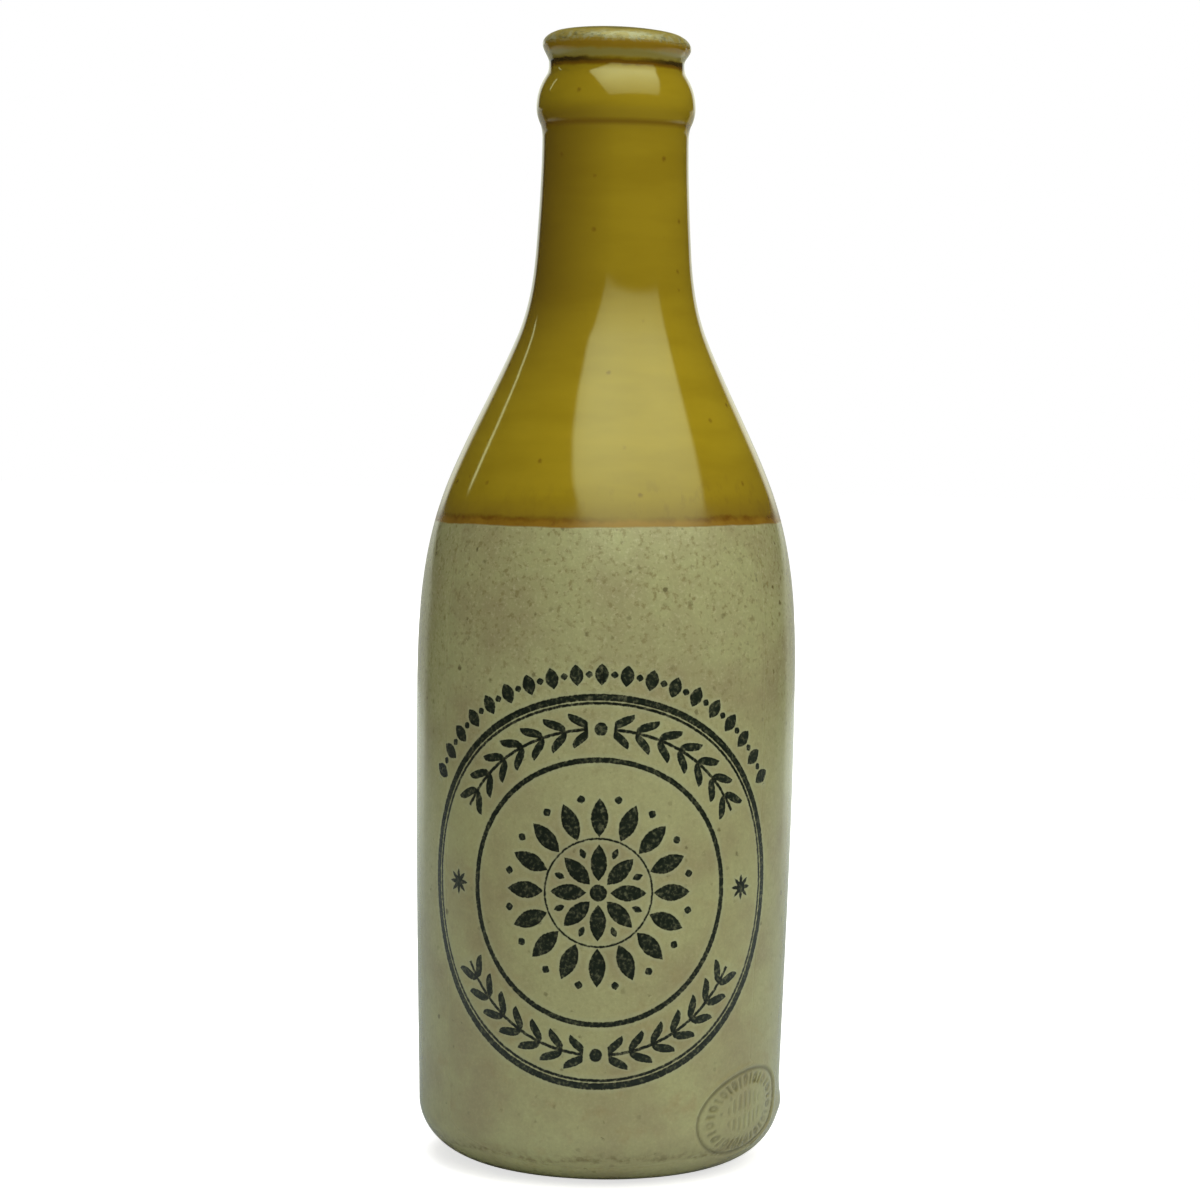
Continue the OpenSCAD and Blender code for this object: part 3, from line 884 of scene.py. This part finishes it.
def ochre_skin(tree, finish, colours, place, sine, over, noise):
    """Colour of the ochre glaze: faintly streaked by the dip, orange-brown and smudged at its lower edge,
    with painted shade, a little browner, on the left of the neck. The sine is that of the angle round the
    bottle, which has no step at the back."""
    flat = add(tree, "ShaderNodeMapping", {"Vector": place, "Scale": (0.05, 0.05, 0.2)})
    streak = add(tree, NOISE, {"Vector": flat, "Scale": 1.0, "Detail": 3.0, "Roughness": 0.5}).outputs["Fac"]
    thick = add(tree, RANGE, (streak, 0.35, 0.65))

    # Painted shade: the ochre darkens towards the left of the neck, where less light falls, up to the collar
    shade_to_left = add(tree, RANGE, (sine, -0.97, 0.0, 0.85, 0.2))
    on_neck = add(tree, RANGE, (over, 20.0, 42.0))
    under_collar = add(tree, RANGE, (over, 73.0, 76.0, 1.0, 0.0))
    neck_left_shade = add(tree, "MULTIPLY", (add(tree, "MULTIPLY", (shade_to_left, on_neck)), under_collar))

    rim_top = finish.glaze_rim / MM
    ragged = add(tree, "MULTIPLY_ADD", (noise["mottle"], -1.6, add(tree, "ADD", (over, 0.8))))
    rim = add(tree, RANGE, (ragged, 0.8 * rim_top, 1.5 * rim_top, 0.75, 0.0))
    aside = off_from(tree, sine, 0.1)
    sides = add(tree, RANGE, (aside, 0.1, 0.55, 0.3, 1.0))
    darkening = add(tree, RANGE, (noise["patch"], 0.38, 0.6, 0.25, 1.0))
    patches = add(tree, "MULTIPLY", (darkening, sides))
    off_line = off_from(tree, ragged, 1.3 * rim_top)
    line = add(tree, RANGE, (off_line, 0.15, 0.7, 0.85, 0.0))
    lined = add(tree, "MULTIPLY", (line, patches))
    rising = add(tree, RANGE, (over, 0.5, finish.smudge_h / MM, 0.7, 0.0))
    smudged = add(tree, "MULTIPLY", (rising, patches))
    browned = add(tree, RANGE, (over, 0.8, 5.5, 0.65, 0.0))
    burnt = add(tree, "MULTIPLY", (add(tree, "MULTIPLY", (rim, patches)), 0.45))

    # Brown smears that run up from the edge
    tall = add(tree, "ShaderNodeMapping", {"Vector": place, "Scale": (0.45, 0.45, 0.16)})
    smear = add(tree, NOISE, {"Vector": tall, "Scale": 1.0, "Detail": 5.0, "Roughness": 0.65}).outputs["Fac"]
    smeared = add(tree, RANGE, (smear, 0.52, 0.66, 0.0, 0.8))
    lower = add(tree, RANGE, (over, 1.0, 10.0, 1.0, 0.0))
    right = add(tree, RANGE, (sine, -0.2, 0.48, 0.3, 1.0))
    smears = add(tree, "MULTIPLY", (add(tree, "MULTIPLY", (smeared, right)), lower))
    haze = add(tree, RANGE, (over, 1.0, 14.0, 0.45, 0.0))
    hazy = add(tree, "MULTIPLY", (haze, right))

    # Pinholes and iron dots: in each cell of 3 mm one may show
    crumbly = add(tree, VECTOR, (noise["crumb"], (0.5, 0.5, 0.5), place), operation="MULTIPLY_ADD")
    dots = add(tree, CELLS, {"Vector": crumbly, "Scale": 1 / 3}).outputs
    chance = add(tree, "ShaderNodeSeparateXYZ", (dots["Color"],)).outputs
    few = add(tree, "GREATER_THAN", (chance["X"], 0.88))
    dot = add(tree, RANGE, (dots["Distance"], 0.06, 0.2, 0.65, 0.0))
    dotted = add(tree, "MULTIPLY", (few, dot))
    return painted(
        tree, tuple(colours.ochre),
        (
            (thick, colours.ochre_dark),
            (neck_left_shade, colours.ochre_shaded),
            (browned, colours.smudge),
            (hazy, colours.smudge),
            (smudged, colours.smudge),
            (smears, colours.smudge),
            (rim, colours.rim),
            (burnt, colours.crease),
            (lined, colours.crease),
            (dotted, colours.crease),
        ),
    )


def finish_skin(tree, finish, size, colours, skin, place, x, z, noise):
    """Adds the wear of the lip, painted shade in the groove and round the collar's foot, and a painted
    reflection of the floor on the lip's underside. Gives the skin, and where the lip is worn and where its
    glaze is thin."""
    lip_z = HEIGHT - size.lip_up_h / MM
    groove_z = lip_z - size.lip_low_h / MM
    collar_foot_z = groove_z - (size.groove_h + size.collar_up_h + size.collar_low_h) / MM
    level = add(tree, "MULTIPLY_ADD", (x, finish.lip_dip, z))
    wavy = add(tree, "MULTIPLY_ADD", (noise["mottle"], 0.8, level))
    height = add(tree, "SUBTRACT", (wavy, groove_z + 0.4))

    # A band round the lip, from one height above the groove to another, with soft edges
    def between(low, high, soft, strength):
        off = off_from(tree, height, (low + high) / 2)
        half = (high - low) / 2
        return add(tree, RANGE, (off, half - soft, half + soft, strength, 0.0))

    patchy = add(tree, RANGE, (noise["speckle"], 0.46, 0.56, 0.15, 1.0))
    worn = add(tree, "MULTIPLY", (between(3.1, 4.7, 0.4, 0.9), patchy))
    thin = between(3.2, 9.0, 0.4, 0.8)
    flat = add(tree, "ShaderNodeMapping", {"Vector": place, "Scale": (0.9, 0.9, 2.2)})
    mark = add(tree, NOISE, {"Vector": flat, "Scale": 1.0, "Detail": 3.0, "Roughness": 0.6}).outputs["Fac"]
    marked = add(tree, RANGE, (mark, 0.55, 0.64, 0.0, 0.75))
    marks = add(tree, "MULTIPLY", (between(3.1, 4.6, 0.4, 1.0), marked))
    aside = off_from(tree, x, 1.0)
    sides = add(tree, RANGE, (aside, 2.5, 8.0, 0.35, 1.0))
    # Painted shade in the groove under the lip, stronger towards the sides
    darkening = add(tree, "MULTIPLY", (between(-0.6, 0.3, 0.25, 0.95), sides))
    # Painted shade in the crease where the collar's underside meets the neck
    from_crease = off_from(tree, z, collar_foot_z)
    crease = add(tree, RANGE, (from_crease, 0.1, 0.8, 0.55, 0.0))
    skin = painted(
        tree, skin,
        (
            # Painted shade: the crease colour just under the groove, and the groove colour in the groove
            # itself
            (between(-1.2, -0.2, 0.25, 0.85), colours.crease),
            (darkening, colours.groove),
            # Painted reflection of the floor on the lip's underside
            (between(0.3, 1.7, 0.25, 0.8), colours.underside_reflection),
            (thin, colours.thin),
            (between(1.7, 3.2, 0.35, 0.85), colours.rim_lip),
            (worn, colours.worn),
            (marks, colours.mark),
            (between(5.2, 6.0, 0.15, 0.7), colours.mark),
            (crease, colours.crease),
        ),
    )
    return skin, worn, thin


def glazed_wall(finish, size, colours):
    """Outside of the bottle: thrown buff stoneware, dipped in clear glaze below and ochre glaze above, then
    fired. The eye sees a hard gloss on the ochre, a softer one on the buff, and iron flecks through both."""
    material, tree = new_material("buff stoneware, dipped in clear and ochre glaze")
    place, angle, x, z = surface_place(tree)
    noise = surface_noise(tree, place)

    # Height above the wavy edge of the ochre glaze
    sine = add(tree, "SINE", (angle,))
    tilt = add(tree, "MULTIPLY_ADD", (sine, finish.glaze_tilt / MM, finish.glaze_z / MM))
    wave_h = 0.9
    wavy = add(tree, "MULTIPLY_ADD", (noise["cloud"], wave_h, tilt))
    line = add(tree, "SUBTRACT", (wavy, wave_h / 2))
    over = add(tree, "SUBTRACT", (z, line))
    glazed = add(tree, RANGE, (over, -0.15, 0.15))

    buff = buff_skin(tree, finish, colours, place, angle, z, noise)
    ochre = ochre_skin(tree, finish, colours, place, sine, over, noise)
    skin = add(tree, MIX, {"Factor": glazed, "A": buff, "B": ochre}, data_type="RGBA")
    skin, worn, thin = finish_skin(tree, finish, size, colours, skin, place, x, z, noise)

    # The ochre glaze is dull just above its edge, and where the lip is worn
    dulled = add(tree, RANGE, (over, 0.3, finish.smudge_h / MM, 0.26, 0.07))
    facing = add(tree, "ShaderNodeLayerWeight", {"Blend": 0.5}).outputs["Facing"]
    keen = add(tree, RANGE, (facing, 0.45, 0.72, 0.28, 0.13))
    worn_rough = add(tree, "MULTIPLY", (worn, 0.35))
    thin_rough = add(tree, "MULTIPLY", (thin, 0.5))
    lip_rough = add(tree, "MAXIMUM", (worn_rough, thin_rough))
    rough = add(tree, MIX, {"Factor": glazed, "A": keen, "B": dulled}, data_type="FLOAT")
    rough = add(tree, "MAXIMUM", (rough, lip_rough))

    # Orange-peel of the glazes: faint on the ochre, and strongest where the lip is worn
    peel = add(tree, "ADD", (noise["mottle"], noise["grain"]))
    clear_peel = add(tree, RANGE, (glazed, 0.0, 1.0, 0.35, 0.04))
    strength = add(tree, "MAXIMUM", (clear_peel, worn))
    fired_surface(tree, skin, rough, ior=1.6, height=peel, deep=0.05, strength=strength)
    return material


def glazed_inside(colours):
    """Inside of the bottle: clear glaze poured in and out over grey-buff stoneware, glossy and uneven."""
    material, tree = new_material("poured clear glaze inside")
    place, _, _, _ = surface_place(tree)
    cloud = add(tree, NOISE, {"Vector": place, "Scale": 1 / 6, "Detail": 4.0}).outputs["Fac"]
    shade = add(tree, RANGE, (cloud, 0.3, 0.7, 0.85, 1.1))
    skin = add(tree, VECTOR, {0: tuple(colours.inside), "Scale": shade}, operation="SCALE")
    fired_surface(tree, skin, roughness=0.2, ior=1.55, height=cloud, deep=0.1, strength=0.3)
    return material


def dry_base(colours):
    """Flat of the base: stoneware wiped clean of glaze before firing, so it is matt and gritty."""
    material, tree = new_material("wiped dry stoneware base")
    place, _, _, _ = surface_place(tree)
    grit = add(tree, NOISE, {"Vector": place, "Scale": 1 / 0.8, "Detail": 6.0, "Roughness": 0.7})
    shade = add(tree, RANGE, (grit, 0.3, 0.7, 0.8, 1.1))
    skin = add(tree, VECTOR, {0: tuple(colours.dry_clay), "Scale": shade}, operation="SCALE")
    fired_surface(tree, skin, roughness=0.85, ior=1.5, height=grit, deep=0.15, strength=0.6)
    return material


class STONEWARE_OT_bottle(bpy.types.Operator):
    """Turns the bottle, presses the stamp into it and glazes it"""

    bl_idname = "stoneware.bottle"
    bl_label = "Make bottle"

    def execute(self, context):
        scene = context.scene
        size, finish, colours = scene.stoneware_outline, scene.stoneware_finish, scene.stoneware_colours
        stamp_top = finish.stamp_z + 1.4 * finish.stamp_short
        outline, wall_row, inside_row = outline_points(size, stamp_top)
        inputs = {
            "Columns": finish.columns,
            "Rows": len(outline),
            "First angle": finish.stamp_angle,
            "Crowding": finish.crowding,
            "Wall row": wall_row,
            "Inside row": inside_row,
            "Base material": dry_base(colours),
            "Wall material": glazed_wall(finish, size, colours),
            "Inside material": glazed_inside(colours),
        }
        mesh = turn_bottle(outline, inputs)
        lip_z = HEIGHT * MM - size.lip_up_h
        add_relief(mesh, finish, wall_row, inside_row, lip_z - size.lip_low_h, lip_z)
        mesh.name = "bottle_glazed"
        piece = new_object("bottle_glazed", mesh)
        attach(piece, "root")
        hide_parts("bottle")
        return {"FINISHED"}


# Stage


def direction(side, rise):
    """The direction from the bottle to a place that far round to the camera's right and that high."""
    return Vector((math.sin(side) * math.cos(rise), -math.cos(side) * math.cos(rise), math.sin(rise)))


def add_lamp(name, target, way, far, wide, tall, brightness):
    """A rectangular lamp that faces the target. The surroundings, and not the lamp, show its reflection."""
    lamp = bpy.data.lights.new(name, "AREA")
    lamp.shape = "RECTANGLE"
    lamp.size = wide
    lamp.size_y = tall
    lamp.energy = brightness * math.pi * wide * tall
    holder = new_object(name, lamp)
    holder.location = target + way * far
    holder.rotation_euler = way.to_track_quat("Z", "Y").to_euler()
    holder.visible_camera = False
    holder.visible_glossy = False


def panel(tree, way, side, rise, across, up, soft):
    """A soft-edged panel in the surroundings, from one tangent to another each way from its middle: where
    it shows, as 1 on it and 0 off it, and the tangents from its middle, across and up."""
    facing = direction(side, rise)
    turn = facing.to_track_quat("Z", "Y")
    ahead = add(tree, VECTOR, (way, facing), operation="DOT_PRODUCT").outputs["Value"]
    shows = add(tree, "GREATER_THAN", (ahead, 0.05))
    tangents = []
    for axis, (low, high), blur in zip(((1, 0, 0), (0, 1, 0)), (across, up), soft):
        along = add(tree, VECTOR, (way, turn @ Vector(axis)), operation="DOT_PRODUCT").outputs["Value"]
        tangent = add(tree, "DIVIDE", (along, ahead))
        off = off_from(tree, tangent, (low + high) / 2)
        half = (high - low) / 2
        inside = add(tree, RANGE, (off, half - blur, half + blur, 1.0, 0.0), interpolation_type="SMOOTHSTEP")
        shows = add(tree, "MULTIPLY", (shows, inside))
        tangents.append(tangent)
    return shows, tangents


def backdrop(tree, spot):
    """How bright a white sheet behind the bottle is: it is wider low down, and brighter higher up."""
    side = add(tree, "ARCTAN2", (spot["X"], spot["Y"]))
    off = add(tree, "ABSOLUTE", (side,))
    narrower = add(tree, RANGE, (spot["Z"], -0.02, 0.06, 0.0, math.radians(17)))
    reach = add(tree, "ADD", (off, narrower))
    shows = add(tree, RANGE, (reach, math.radians(42), math.radians(48), 1.0, 0.0))
    low = add(tree, RANGE, (spot["Z"], 0.25, 0.4, 1.0, 0.0))
    bright = add(tree, RANGE, (spot["Z"], 0.0, 0.1, 0.5, 1.15))
    return add(tree, "MULTIPLY", (add(tree, "MULTIPLY", (shows, low)), bright))


def make_world(stage):
    """White behind the bottle, for the camera and for reflections at the bottle's edges, and a dim room
    elsewhere, in which the softbox and the strip light are reflected."""
    world = bpy.data.worlds.new("studio")
    world.use_nodes = True
    tree = world.node_tree
    tree.nodes.clear()
    way = add(tree, "ShaderNodeTexCoord").outputs["Generated"]
    spot = add(tree, "ShaderNodeSeparateXYZ", (way,)).outputs
    path = add(tree, "ShaderNodeLightPath").outputs
    mirrored = add(tree, "MAXIMUM", (path["Is Glossy Ray"], path["Is Transmission Ray"]))
    box_across, box_up, box_soft = (-0.88, 0.78), (-0.52, 1.2), (0.06, 0.07)
    softbox, (across, height) = panel(
        tree, way, stage.softbox_side, stage.softbox_rise, box_across, box_up, box_soft
    )
    brightness = add(tree, RANGE, (height, -0.6, 0.3, 0.3 * stage.softbox_shine, 1.35 * stage.softbox_shine))
    strip_across, strip_up, strip_soft = (-0.022, 0.022), (-0.03, 0.18), (0.012, 0.03)
    strip, _ = panel(tree, way, -stage.strip_side, stage.strip_rise, strip_across, strip_up, strip_soft)
    squared = add(tree, "POWER", (across, 2.0))
    dimmer = add(tree, RANGE, (squared, 0.08, 0.65, 1.0, 0.68))
    glare = add(tree, "MULTIPLY", (add(tree, "MULTIPLY", (softbox, dimmer)), brightness))
    both = add(tree, "MULTIPLY_ADD", (strip, stage.strip_light, glare))
    shine = add(tree, VECTOR, {0: SOFTBOX_TINT, "Scale": both}, operation="SCALE")
    dim = add(tree, VECTOR, (shine, ROOM_TINT), operation="ADD")
    sheet = add(tree, VECTOR, (backdrop(tree, spot), SHEET_TINT, dim), operation="MULTIPLY_ADD")
    room = add(tree, MIX, {"Factor": mirrored, "A": (stage.fill_light,) * 3, "B": sheet}, data_type="RGBA")
    light = add(tree, MIX, {"Factor": path["Is Camera Ray"], "A": room, "B": WHITE}, data_type="RGBA")
    add(tree, "ShaderNodeOutputWorld", (add(tree, "ShaderNodeBackground", (light,)),))
    bpy.context.scene.world = world


def make_floor(stage):
    """A plain pale floor. The camera sees it white, apart from the bottle's soft shadow. In reflections it is
    a sheet of grey paper round the bottle that turns white behind it, and the room in front is dim."""
    half = stage.floor_side / 2
    low = -0.1 * MM
    mesh = bpy.data.meshes.new("floor")
    corners = [(-half, -half, low), (half, -half, low), (half, half, low), (-half, half, low)]
    mesh.from_pydata(corners, [], [(0, 1, 2, 3)])
    floor = new_object("floor", mesh)
    material, tree = new_material("matt white paper floor")
    path = add(tree, "ShaderNodeLightPath").outputs
    place = add(tree, "ShaderNodeTexCoord").outputs["Object"]
    away = add(tree, VECTOR, (place,), operation="LENGTH").outputs["Value"]
    glow = add(tree, RANGE, (away, 0.05, 0.7, 0.7, 1.0))
    seen = add(tree, "MULTIPLY", (path["Is Camera Ray"], glow))

    sheet = add(tree, VECTOR, (place, (0.0, 0.45, 0.0)), operation="DISTANCE").outputs["Value"]
    near = add(tree, RANGE, (sheet, 0.5, 0.58, 1.0, 0.06))
    grey = add(tree, VECTOR, {0: (0.4, 0.45, 0.42), "Scale": near}, operation="SCALE")
    shown = add(
        tree, MIX, {"Factor": path["Is Glossy Ray"], "A": linear("#e6e6e4"), "B": grey}, data_type="RGBA"
    )
    spot = add(tree, "ShaderNodeSeparateXYZ", (place,)).outputs
    far = add(tree, RANGE, (away, 0.25, 0.6))
    behind = add(tree, "MULTIPLY", (backdrop(tree, spot), far))
    white = add(tree, "MULTIPLY_ADD", (behind, path["Is Glossy Ray"], seen))
    light = add(tree, "MULTIPLY_ADD", (path["Is Diffuse Ray"], 0.08, white))
    tint = add(tree, MIX, {"Factor": path["Is Glossy Ray"], "A": WHITE, "B": SHEET_TINT}, data_type="RGBA")
    paper = add(tree, "ShaderNodeBsdfDiffuse", {"Color": shown})
    lit = add(tree, "ShaderNodeEmission", {"Color": tint, "Strength": light})
    add(tree, "ShaderNodeOutputMaterial", (add(tree, "ShaderNodeAddShader", (paper, lit)),))
    mesh.materials.append(material)


def make_camera(stage):
    """The camera, at the photograph's height, distance and tilt."""
    data = bpy.data.cameras.new("camera")
    data.lens = stage.lens
    data.sensor_width = 36.0
    camera = new_object("camera", data)
    turn = (
        Matrix.Rotation(stage.camera_yaw, 4, "Z")
        @ Matrix.Rotation(math.pi / 2 - stage.camera_pitch, 4, "X")
        @ Matrix.Rotation(stage.camera_roll, 4, "Z")
    )
    camera.matrix_world = Matrix.Translation((0.0, -stage.camera_far, stage.camera_z)) @ turn
    bpy.context.scene.camera = camera


class STONEWARE_OT_stage(bpy.types.Operator):
    """Sets the camera, the lamps, the white surroundings and the floor"""

    bl_idname = "stoneware.stage"
    bl_label = "Make stage"

    def execute(self, context):
        stage = context.scene.stoneware_stage
        context.scene.view_settings.view_transform = "Standard"
        shoulder = Vector((0.0, 0.0, SHOULDER_Z * MM))
        make_camera(stage)
        make_world(stage)
        make_floor(stage)
        way = direction(stage.softbox_side, stage.softbox_rise)
        box = (stage.softbox_far, stage.softbox_w, stage.softbox_h)
        add_lamp("softbox", shoulder, way, *box, stage.softbox_light)
        top = (stage.top_z, stage.top_side, stage.top_side)
        add_lamp("top light", Vector(), Vector((0.0, 0.0, 1.0)), *top, stage.top_light)
        back = (stage.back_far, stage.back_side, stage.back_side)
        add_lamp("back light", shoulder, direction(math.pi, stage.back_rise), *back, stage.back_light)
        return {"FINISHED"}


class STONEWARE_PT_sidebar(bpy.types.Panel):
    """Lists the bottle's sizes, finishes and colours, and the stage"""

    bl_label = "Stoneware bottle"
    bl_space_type = "VIEW_3D"
    bl_region_type = "UI"
    bl_category = "Stoneware"

    def draw(self, context):
        scene = context.scene
        for label, group in (
            ("Outline", scene.stoneware_outline),
            ("Finish", scene.stoneware_finish),
            ("Colours", scene.stoneware_colours),
            ("Stage", scene.stoneware_stage),
        ):
            box = self.layout.box()
            box.label(text=label)
            for name in group.bl_rna.properties.keys():
                if name not in ("rna_type", "name"):
                    box.prop(group, name)
        self.layout.operator(STONEWARE_OT_bottle.bl_idname)
        self.layout.operator(STONEWARE_OT_stage.bl_idname)


CLASSES = (
    OutlineSizes,
    FinishSizes,
    FinishColours,
    StageSizes,
    STONEWARE_OT_bottle,
    STONEWARE_OT_stage,
    STONEWARE_PT_sidebar,
)
GROUPS = {
    "stoneware_outline": OutlineSizes,
    "stoneware_finish": FinishSizes,
    "stoneware_colours": FinishColours,
    "stoneware_stage": StageSizes,
}


def register():
    for kind in CLASSES:
        bpy.utils.register_class(kind)
    for name, kind in GROUPS.items():
        setattr(bpy.types.Scene, name, PointerProperty(type=kind))


def unregister():
    for name in GROUPS:
        delattr(bpy.types.Scene, name)
    for kind in reversed(CLASSES):
        bpy.utils.unregister_class(kind)


def main():
    """Makes the stage and the bottle."""
    register()
    bpy.ops.stoneware.stage()
    bpy.ops.stoneware.bottle()


if __name__ == "__main__":
    main()
